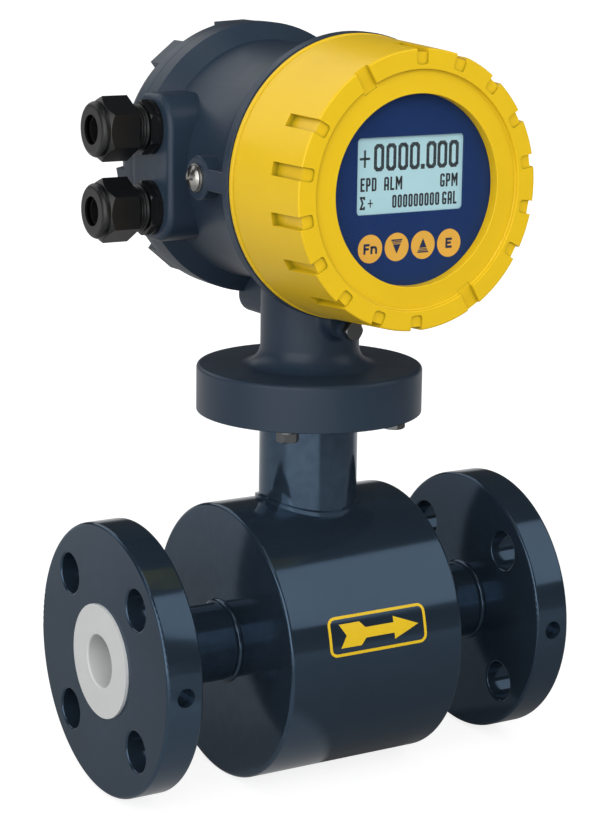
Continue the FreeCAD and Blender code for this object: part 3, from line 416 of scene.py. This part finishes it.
@dataclass
class FlatArt:
    """Thin printed art: flat shapes with a little thickness, gathered into one mesh.

    Shapes are cut into strips of a height, where art is to be bent round a cylinder.
    """

    thickness: float = 0.04
    strip: float = 1000.0

    def __post_init__(self) -> None:
        """Starts with no shapes."""
        self.points: list[tuple[float, float, float]] = []
        self.faces: list[list[int]] = []

    def polygon(self, corners: Sequence[Point]) -> None:
        """Adds a convex shape, walked anticlockwise, as (u, v) corners."""
        low, high = min(v for _, v in corners), max(v for _, v in corners)
        for row in range(math.floor(low / self.strip), math.ceil(high / self.strip)):
            part = self._clip(self._clip(corners, row * self.strip, 1), (row + 1) * self.strip, -1)
            if len(part) > 2:
                self._slab(part)

    @staticmethod
    def _clip(corners: Sequence[Point], level: float, side: int) -> list[Point]:
        """Keeps the part of a convex shape above (1) or below (-1) a level."""
        kept: list[Point] = []
        for here, there in zip(corners, [*corners[1:], corners[0]]):
            height, rise = (here[1] - level) * side, (there[1] - level) * side
            if height >= 0:
                kept.append(here)
            if (height > 0 > rise) or (height < 0 < rise):
                share = height / (height - rise)
                kept.append((here[0] + (there[0] - here[0]) * share, level))
        return kept

    def _slab(self, corners: Sequence[Point]) -> None:
        """Adds one shape with its thickness."""
        first, count = len(self.points), len(corners)
        for height in (0.0, self.thickness):
            self.points += [(u, v, height) for u, v in corners]
        self.faces.append([first + count + n for n in range(count)])
        self.faces.append([first + n for n in reversed(range(count))])
        for n in range(count):
            after = (n + 1) % count
            self.faces.append([first + n, first + after, first + count + after, first + count + n])

    def box(self, u: float, v: float, width: float, height: float) -> None:
        """Adds a rectangle about its centre."""
        half_w, half_h = width / 2, height / 2
        self.polygon([(u - half_w, v - half_h), (u + half_w, v - half_h), (u + half_w, v + half_h),
                      (u - half_w, v + half_h)])

    def band(self, outer: Sequence[Point], inner: Sequence[Point]) -> None:
        """Adds a closed band between two outlines with the same number of corners."""
        count = len(outer)
        for n in range(count):
            after = (n + 1) % count
            self.polygon([outer[n], outer[after], inner[after], inner[n]])

    def stroke(self, path: Sequence[Point], width: float) -> None:
        """Adds a line of a width with mitred corners, and square ends unless it closes."""
        spots = np.array(path, float)
        runs = np.diff(spots, axis=0)
        runs /= np.linalg.norm(runs, axis=1)[:, None]
        half = width / 2
        if not np.allclose(spots[0], spots[-1]):
            spots[0] -= runs[0] * half
            spots[-1] += runs[-1] * half
        lefts = np.column_stack([-runs[:, 1], runs[:, 0]])
        mitres = np.vstack([lefts[:1], lefts[:-1] + lefts[1:], lefts[-1:]])
        mitres[1:-1] /= (1 + (lefts[:-1] * lefts[1:]).sum(1))[:, None]
        left, right = spots + mitres * half, spots - mitres * half
        for n in range(len(runs)):
            self.polygon([tuple(right[n]), tuple(right[n + 1]), tuple(left[n + 1]), tuple(left[n])])

    def words(self, letters: str, u: float, v: float, width: float, height: float, line: float,
              gap: float = 0.27) -> None:
        """Adds lettering fitted to a box.

        Args:
            letters: The characters, each one of LETTERS.
            u: Left side of the box.
            v: Bottom of the box.
            width: Width of the box.
            height: Height of the box.
            line: Width of the strokes.
            gap: Space between letters, as a share of a letter.
        """
        unit = width / (sum(LETTERS[letter][0] for letter in letters) + gap * (len(letters) - 1))
        for letter in letters:
            share, paths = LETTERS[letter]
            wide, high = unit * share - line, height - line
            for path in paths:
                corners = [(u + line / 2 + spot[0] * wide, v + line / 2 + spot[1] * high, *spot[2:]) for spot in path]
                self.stroke(softened(corners, wide * 0.45), line)
            u += unit * (share + gap)


LETTERS: dict[str, tuple[float, tuple[tuple[Point, ...], ...]]] = {
    "0": (1.0, (((0.5, 0), (1, 0, 1), (1, 1, 1), (0, 1, 1), (0, 0, 1), (0.5, 0)),)),
    "A": (1.0, (((0, 0), (0, 1, 1), (1, 1, 1), (1, 0)), ((0.2, 0.36), (0.8, 0.36)))),
    "D": (1.0, (((0.5, 0), (0, 0), (0, 1), (1, 1, 1), (1, 0, 1), (0.5, 0)),)),
    "E": (0.9, (((1, 1), (0, 1), (0, 0), (1, 0)), ((0.2, 0.52), (0.8, 0.52)))),
    "F": (0.9, (((1, 1), (0, 1), (0, 0)), ((0.2, 0.5), (0.8, 0.5)))),
    "G": (1.0, (((1, 0.88), (1, 1, 1), (0, 1, 1), (0, 0, 1), (1, 0, 1), (1, 0.4), (0.72, 0.4)),)),
    "L": (0.85, (((0, 1), (0, 0), (1, 0)),)),
    "M": (1.35, (((0, 0), (0, 1)), ((1, 0), (1, 1)), ((0.12, 0.9), (0.5, 0.4), (0.88, 0.9)))),
    "P": (0.95, (((0, 0), (0, 1), (1, 1, 1), (1, 0.44, 1), (0.2, 0.44)),)),
    "n": (1.0, (((0, 0), (0, 0.68)), ((0.2, 0.68), (1, 0.68, 1), (1, 0)))),
    "\u03a3": (1.0, (((1, 0.88), (1, 1), (0.1, 1)), ((0.15, 0.95), (0.6, 0.5), (0.15, 0.05)),
                     ((0.1, 0), (1, 0), (1, 0.12)))),
}


def softened(path: Sequence[Point], reach: float, steps: int = 5) -> list[tuple[float, float]]:
    """Path with its marked corners rounded, each over a reach along its sides."""
    made: list[tuple[float, float]] = []
    for n, spot in enumerate(path):
        if len(spot) == 2:
            made.append(tuple(spot))
            continue
        corner = np.array(spot[:2])
        ends = []
        for other in (path[n - 1], path[n + 1]):
            away = np.array(other[:2]) - corner
            length = float(np.linalg.norm(away))
            ends.append(corner + away / length * min(reach, length * (0.5 if len(other) == 3 else 0.99)))
        for step in range(steps + 1):
            t = step / steps
            made.append(tuple((1 - t) ** 2 * ends[0] + 2 * t * (1 - t) * corner + t ** 2 * ends[1]))
    return made


def rounded_box(half_u: float, half_v: float, corner: float, u: float = 0.0, v: float = 0.0,
                steps: int = 6) -> list[tuple[float, float]]:
    """Corners of a rounded rectangle, walked anticlockwise."""
    made = []
    for quarter, (a, b) in enumerate(((1, -1), (1, 1), (-1, 1), (-1, -1))):
        for step in range(steps + 1):
            angle = math.radians(90 * (quarter - 1) + 90 * step / steps)
            made.append((u + a * (half_u - corner) + corner * math.cos(angle),
                         v + b * (half_v - corner) + corner * math.sin(angle)))
    return made


def lathe_x(profile: Sequence[Point], centre: Point, steps: int = 96) -> tuple[list[Point], list[list[int]]]:
    """Turns a closed profile about a line along X.

    Args:
        profile: Its (x, radius) corners, with x rising along the outside.
        centre: A point of the line, of which y and z count.
        steps: Number of sides.

    Returns:
        The points and the faces.
    """
    points, faces, count = [], [], len(profile)
    for step in range(steps):
        turn = 2 * math.pi * step / steps
        points += [(x, centre[1] + radius * math.cos(turn), centre[2] + radius * math.sin(turn))
                   for x, radius in profile]
    for step in range(steps):
        here, there = step * count, (step + 1) % steps * count
        faces += [[here + n, here + (n + 1) % count, there + (n + 1) % count, there + n] for n in range(count)]
    return points, faces


# ---------------------------------------------------------------- sub-assemblies


@dataclass
class CarriedNodes:
    """Nodes that keep their own meshes, with smooth shading and the finish of their slot."""

    def build(self) -> None:
        """Dresses every node."""
        for name, node in sorted(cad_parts.items()):
            slot = node.data.materials[0].name
            crisp_normals(node)
            node.data.materials[0] = NODE_FINISH.get(name, SLOT_FINISH[slot]).material()
            LOG.info("node %s: %s", name, slot)


@dataclass
class DisplayArt:
    """Characters of the display, its rounded frame and the marks on the keys."""

    digit_height: float = 10.0
    digit_width: float = 4.4
    digit_low: float = 7.2
    digit_places: tuple[float, ...] = (-13.5, -8.2, -3.0, 2.1, 9.4, 14.3, 19.4)
    columns: int = 10
    rows: int = 22
    thick: int = 3
    letter_line: float = 0.74
    frame_corner: float = 1.7
    key_line: float = 0.86

    def __post_init__(self) -> None:
        """Reads the places of the panel, screen and keys."""
        self.pane_low, self.pane_high = (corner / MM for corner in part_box("lcd_pane"))
        keys_low, keys_high = (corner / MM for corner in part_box("touch_keys"))
        self.key_y, self.key_z = keys_low.y, (keys_low.z + keys_high.z) / 2
        disc_low, disc_high = (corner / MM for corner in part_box("display_panel"))
        self.axis_z = (disc_low.z + disc_high.z) / 2

    def build(self) -> None:
        """Makes the characters, the frame and the key marks."""
        self._raise("screen_digits", self._digits(), self.pane_low.y, self.axis_z, GLYPH)
        self._raise("screen_words", self._words(), self.pane_low.y, self.axis_z, GLYPH)
        self._raise("screen_frame", self._frame(), self.pane_low.y, self.axis_z, PANEL)
        self._raise("key_marks", self._marks(), self.key_y, self.key_z, KEY_MARK)

    def _digits(self) -> FlatArt:
        """Large numerals made of small squares, with a plus sign and a point."""
        art = FlatArt()
        step_u, step_v = self.digit_width / self.columns, self.digit_height / self.rows
        for place in self.digit_places:
            for row in range(self.rows):
                for column in range(self.columns):
                    if self._lit(column, row):
                        u = place + (column - (self.columns - 1) / 2) * step_u
                        v = self.digit_low + (row + 0.5) * step_v
                        art.box(u, v, step_u * 0.93, step_v * 0.93)
        for half_u, half_v, u, v in ((2, 2, 5.7, self.digit_low + 0.9), (5, 1, -19.6, 12.0), (1, 7, -19.6, 12.0)):
            for row in range(-half_v, half_v):
                for column in range(-half_u, half_u):
                    art.box(u + (column + 0.5) * step_u, v + (row + 0.5) * step_v, step_u * 0.93, step_v * 0.93)
        return art

    def _lit(self, column: int, row: int) -> bool:
        """Whether a square belongs to the outline of a nought with cut corners."""
        side = min(column, self.columns - 1 - column)
        end = min(row, self.rows - 1 - row)
        hole = side >= self.thick and end >= self.thick and side + end > 2 * self.thick
        return side + end >= self.thick - 1 and not hole

    def _words(self) -> FlatArt:
        """Rows of small letters and numerals."""
        art = FlatArt()
        for letters, low, high, bottom, height in (
                ("EPD", -21.3, -14.4, 0.1, 4.95), ("ALM", -11.1, -3.2, 0.1, 4.95), ("GPM", 13.6, 21.4, 0.1, 4.95),
                ("\u03a3", -21.6, -19.2, -6.5, 4.8), ("000000000", -7.4, 13.4, -6.5, 4.8),
                ("GAL", 14.7, 21.2, -6.5, 4.8)):
            art.words(letters, low, bottom, high - low, height, self.letter_line)
        art.box(-16.95, -4.3, 2.1, 0.45)
        art.box(-16.95, -4.3, 0.45, 2.9)
        return art

    def _frame(self) -> FlatArt:
        """Printed frame that rounds the corners of the screen."""
        art = FlatArt()
        half_u, half_v = self.pane_high.x, (self.pane_high.z - self.pane_low.z) / 2
        middle = (self.pane_high.z + self.pane_low.z) / 2 - self.axis_z
        inner = rounded_box(half_u - 0.25, half_v - 0.25, self.frame_corner, 0, middle)
        outer = rounded_box(half_u + 0.15, half_v + 0.15, 0.2, 0, middle)
        art.band(outer, inner)
        return art

    def _marks(self) -> FlatArt:
        """Letters and arrows on the four keys."""
        art = FlatArt()
        art.words("Fn", -17.3 - 2.95, -1.9, 5.9, 3.8, self.key_line, 0.14)
        art.words("E", 17.3 - 1.4, -1.9, 2.8, 3.8, self.key_line)
        for side, centre in ((-1, -5.8), (1, 5.8)):
            tip = [(centre - 1.65, -1.0 * side), (centre + 1.65, -1.0 * side), (centre, 2.5 * side)]
            art.polygon(tip if side > 0 else tip[::-1])
            for row, width, height in ((1.42, 3.5, 0.3), (1.95, 4.1, 0.34), (2.58, 4.8, 0.55)):
                art.box(centre, -row * side, width, height)
        return art

    def _raise(self, name: str, art: FlatArt, face_y: float, axis_z: float, finish: Finish) -> None:
        """Stands flat art on a face that looks along -Y."""
        points = [(u, face_y - height, axis_z + v) for u, v, height in art.points]
        piece = new_piece(name, points, art.faces, finish)
        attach(piece, "meter")
        LOG.info("%s: %d faces", name, len(art.faces))


@dataclass
class GlandCollars:
    """Ridged collars of the cable glands, between hexagon and dome nut."""

    ridges: int = 4
    ridge: float = 0.55
    core: float = 8.62
    inner: float = 8.1
    clear: float = 0.15
    hexagon: float = 3.9
    crest: float = 0.7
    samples: int = 9

    def build(self) -> None:
        """Makes one collar a gland."""
        for place in ("upper", "lower"):
            body_low, body_high = (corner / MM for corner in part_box("gland_body_" + place))
            gasket_low, _ = (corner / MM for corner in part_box("gland_gasket_" + place))
            _, nut_high = (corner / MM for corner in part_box("gland_nut_" + place))
            start, end = nut_high.x + self.clear, gasket_low.x - self.hexagon
            centre = (0.0, (body_low.y + body_high.y) / 2, (body_low.z + body_high.z) / 2)
            count = self.ridges * self.samples
            profile = [(start, self.inner)]
            for n in range(count + 1):
                wave = 0.5 - 0.5 * math.cos(2 * math.pi * n / self.samples)
                profile.append((start + (end - start) * n / count, self.core + self.ridge * wave ** self.crest))
            profile.append((end, self.inner))
            points, faces = lathe_x(profile, centre)
            piece = new_piece("gland_collar_" + place, points, faces, NYLON)
            crisp_normals(piece)
            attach(piece, "meter")
            LOG.info("gland_collar_%s: %d faces", place, len(faces))


@dataclass
class ArrowLabel:
    """Flow arrow in a rounded frame, printed round the coil housing."""

    half_length: float = 22.3
    half_height: float = 7.8
    line: float = 1.15
    corner: float = 3.3
    angle: float = 13.8
    thickness: float = 0.03

    def build(self) -> None:
        """Makes the frame and the arrow, bent to the housing."""
        low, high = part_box("coil_housing")
        radius = (high.z - low.z) / 2 / MM
        art = FlatArt(self.thickness, 0.9)
        outer = rounded_box(self.half_length, self.half_height, self.corner)
        inner = rounded_box(self.half_length - self.line, self.half_height - self.line, self.corner - self.line)
        art.band(outer, inner)
        self._arrow(art, radius)
        points = [self._bend(point, radius) for point in art.points]
        piece = new_piece("flow_arrow", points, art.faces, LABEL)
        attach(piece, "meter")
        LOG.info("flow_arrow: %d faces", len(art.faces))

    def _arrow(self, art: FlatArt, radius: float) -> None:
        """Adds the arrow as bands that are short enough to bend."""
        per_degree = radius * math.pi / 180
        tail, shaft, head = 4.8 * per_degree, 2.1 * per_degree, 4.65 * per_degree
        for side in (1, -1):
            self._slab(art, [(-17.3, tail * side), (-14.35, 0.0), (-5.6, 0.0), (-5.6, shaft * side),
                             (-8.0, tail * side)], side)
            self._slab(art, [(-5.6, shaft * side), (-5.6, 0.0), (7.4, 0.0), (7.4, shaft * side)], side)
            self._slab(art, [(7.4, head * side), (7.4, 0.0), (18.7, 0.0)], side)

    @staticmethod
    def _slab(art: FlatArt, corners: Sequence[Point], side: int) -> None:
        """Adds a shape, turned the right way for its side."""
        art.polygon(list(corners) if side > 0 else list(corners)[::-1])

    def _bend(self, point: Point, radius: float) -> tuple[float, float, float]:
        """Place on the housing of a point of the flat art."""
        u, v, height = point
        turn = math.radians(self.angle) + v / radius
        reach = radius + height + 0.01
        return (u, -reach * math.cos(turn), reach * math.sin(turn))


# ---------------------------------------------------------------- studio


@dataclass
class Studio:
    """Pale floor, soft lights and the camera."""

    azimuth: float = -31.555
    elevation: float = 12.431
    roll: float = 0.809
    distance: float = 956.7
    target: tuple[float, float, float] = (-1.17, 0.0, 92.6)
    focal: float = 105.51
    shift: tuple[float, float] = (-0.00766, -0.00791)
    fill: float = 0.28
    ceiling: float = 0.05
    floor_tone: float = 0.34
    floor_half: float = 6.0
    near_glow: float = 0.84
    room: float = 0.46
    sectors: tuple[tuple[float, float, float], ...] = ((46, 54, 0.06), (-45, 39, 0.92))
    lamps: tuple[tuple[str, float, float, float, float, float, float], ...] = (
        ("softbox_left", -58, 20, 1.7, 2.0, 1.5, 2.1), ("softbox_right", 48, 34, 1.8, 1.3, 1.3, 1.2),
        ("panel_above", -30, 72, 1.6, 0.7, 0.7, 1.2), ("softbox_back", -164, 34, 1.8, 1.9, 1.1, 1.0),
        ("front_fill", -6, 26, 2.2, 1.6, 1.6, 1.5))

    def build(self) -> None:
        """Builds the floor, the world, the lamps and the camera."""
        self._floor()
        self._world()
        self._lamps()
        self._camera()
        LOG.info("studio ready")

    def _floor(self) -> None:
        """Large pale floor under the part, which keeps its shadow and runs out in white."""
        size, level = self.floor_half, CAD_BOX[0].z
        mesh = bpy.data.meshes.new("floor")
        mesh.from_pydata([(-size, -size, level), (size, -size, level), (size, size, level), (-size, size, level)],
                         [], [(0, 1, 2, 3)])
        floor = bpy.data.objects.new("floor", mesh)
        bpy.context.scene.collection.objects.link(floor)
        material = bpy.data.materials.new("floor_white")
        material.use_nodes = True
        graph = Graph(material.node_tree)
        shader = material.node_tree.nodes["Principled BSDF"]
        shader.inputs["Base Color"].default_value = (*[self.floor_tone] * 3, 1)
        shader.inputs["Roughness"].default_value = 0.9
        shader.inputs["Specular IOR Level"].default_value = 0.0
        shader.inputs["Emission Color"].default_value = (1, 1, 1, 1)
        reach = graph.node("VectorMath", {0: graph.place()}, operation="LENGTH").outputs["Value"]
        seen = graph.spread(reach, self.near_glow, 1.0, 0.3, 1.2)
        mirrored = graph.math("MULTIPLY", self._around(graph, graph.place()), graph.spread(reach, 0.3, 1.0, 0.3, 0.6))
        graph.feed(shader.inputs["Emission Strength"], self._by_ray(graph, 0.0, seen, mirrored))
        mesh.materials.append(material)

    def _around(self, graph: Graph, place: bpy.types.NodeSocket) -> bpy.types.NodeSocket:
        """Brightness of the room by direction: a lit sector, a dark one, and the level between them."""
        flat = graph.node("VectorMath", {0: place, 1: (1, 1, 0)}, operation="MULTIPLY")
        aim = graph.node("VectorMath", {0: flat.outputs[0]}, operation="NORMALIZE")
        value: object = self.room
        for azimuth, half_width, level in self.sectors:
            side = graph.node("VectorMath", {0: aim.outputs[0], 1: tuple(self._direction(azimuth, 0))},
                              operation="DOT_PRODUCT").outputs["Value"]
            edges = [math.cos(math.radians(half_width + spill)) for spill in (4, -4)]
            mix = graph.node("Mix", data_type="FLOAT")
            for socket, part in ((0, graph.spread(side, 0.0, 1.0, *edges)), (2, value), (3, level)):
                graph.feed(mix.inputs[socket], part)
            value = mix.outputs[0]
        return value

    @staticmethod
    def _by_ray(graph: Graph, other: object, seen: object, mirrored: object) -> bpy.types.NodeSocket:
        """Chooses a value for camera and transmitted rays, for glossy rays and for other rays."""
        path = graph.node("LightPath")
        clear = graph.math("MAXIMUM", path.outputs["Is Camera Ray"], path.outputs["Is Transmission Ray"])
        value = other
        for share, wanted in ((path.outputs["Is Glossy Ray"], mirrored), (clear, seen)):
            mix = graph.node("Mix", data_type="FLOAT")
            for place, part in ((0, share), (2, value), (3, wanted)):
                graph.feed(mix.inputs[place], part)
            value = mix.outputs[0]
        return value

    def _world(self) -> None:
        """White round the part up to above the horizon, with a dark ceiling."""
        world = bpy.data.worlds.new("studio")
        bpy.context.scene.world = world
        world.use_nodes = True
        graph = Graph(world.node_tree)
        background = world.node_tree.nodes["Background"]
        aim = graph.node("TexCoord").outputs["Generated"]
        height = graph.node("SeparateXYZ", {"Vector": aim}).outputs["Z"]
        share = graph.spread(height, 1.0, 0.0, 0.04, 0.14)
        mirrored = graph.math("ADD", graph.math("MULTIPLY", self._around(graph, aim), share), self.ceiling)
        graph.feed(background.inputs["Color"], (1, 1, 1, 1))
        graph.feed(background.inputs["Strength"], self._by_ray(graph, self.fill, 1.0, mirrored))

    def _lamps(self) -> None:
        """Wide softbox at the front left, weaker ones at the right, above and behind."""
        for name, azimuth, elevation, reach, width, height, level in self.lamps:
            lamp = bpy.data.lights.new(name, "AREA")
            lamp.shape, lamp.size, lamp.size_y = "RECTANGLE", width, height
            lamp.energy = level * math.pi * width * height
            obj = bpy.data.objects.new(name, lamp)
            back = self._direction(azimuth, elevation)
            obj.location = Vector((0, 0, 0.1)) + back * reach
            obj.rotation_euler = back.to_track_quat("Z", "Y").to_euler()
            obj.visible_glossy = name != "front_fill"
            bpy.context.scene.collection.objects.link(obj)

    @staticmethod
    def _direction(azimuth: float, elevation: float) -> Vector:
        """Unit vector from the part towards a place in the studio."""
        turn, rise = math.radians(azimuth), math.radians(elevation)
        return Vector((math.sin(turn) * math.cos(rise), -math.cos(turn) * math.cos(rise), math.sin(rise)))

    def _camera(self) -> None:
        """Camera on its direction, with its small roll and shift."""
        data = bpy.data.cameras.new("camera")
        data.sensor_width, data.lens = 36.0, self.focal
        data.shift_x, data.shift_y = self.shift
        data.clip_start, data.clip_end = 0.05, 50.0
        camera = bpy.data.objects.new("camera", data)
        back = self._direction(self.azimuth, self.elevation)
        right = (-back).cross(Vector((0, 0, 1))).normalized()
        up = right.cross(-back)
        roll = math.radians(self.roll)
        right, up = (right * math.cos(roll) + up * math.sin(roll), up * math.cos(roll) - right * math.sin(roll))
        turn = Matrix((right, up, back)).transposed().to_4x4()
        camera.matrix_world = Matrix.Translation((Vector(self.target) + back * self.distance) * MM) @ turn
        bpy.context.scene.collection.objects.link(camera)
        bpy.context.scene.camera = camera
        bpy.context.scene.view_settings.view_transform = "Standard"


def main() -> None:
    """Builds every sub-assembly in order."""
    logging.basicConfig(level=logging.INFO, format="%(name)s: %(message)s")
    for assembly in (CarriedNodes(), DisplayArt(), GlandCollars(), ArrowLabel(), Studio()):
        assembly.build()


if __name__ == "__main__":
    main()
